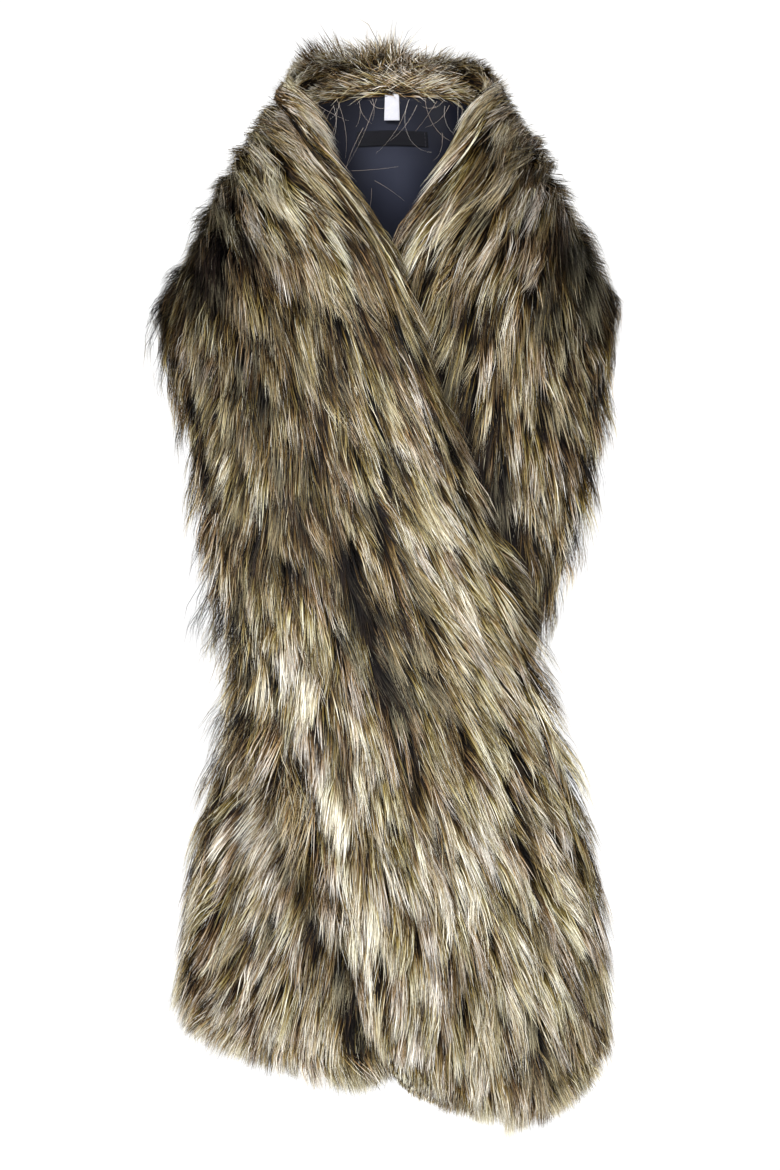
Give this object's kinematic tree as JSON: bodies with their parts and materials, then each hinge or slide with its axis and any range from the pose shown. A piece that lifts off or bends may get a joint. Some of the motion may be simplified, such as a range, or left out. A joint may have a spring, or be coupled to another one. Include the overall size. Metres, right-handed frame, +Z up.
{
  "type": "faux fur stole, worn crossed",
  "caption": "Long-pile faux fur stole with a satin lining, held in its worn shape: round the neck, crossed on the chest, its ends hanging.",
  "frame": {"origin": "on the lining's inner face at the nape, at the centre back", "axes": "+X to the wearer's left, -Y to the wearer's front, +Z up"},
  "size_m": [0.3929, 0.3319, 0.9273],
  "materials": {
    "fur": "long streaked pile, khaki and brown with pale and near-black hairs",
    "satin": "dark navy satin",
    "label": "woven, near black, blank",
    "care_label": "white satin tape, blank"
  },
  "bodies": {
    "root": {"fur_neck_right": "fur", "fur_neck_left": "fur", "fur_front_end": "fur", "fur_under_end": "fur", "lining_neck": "satin", "lining_front_end": "satin", "lining_under_end": "satin", "neck_label": "label", "care_label": "care_label"}
  },
  "joints": []
}
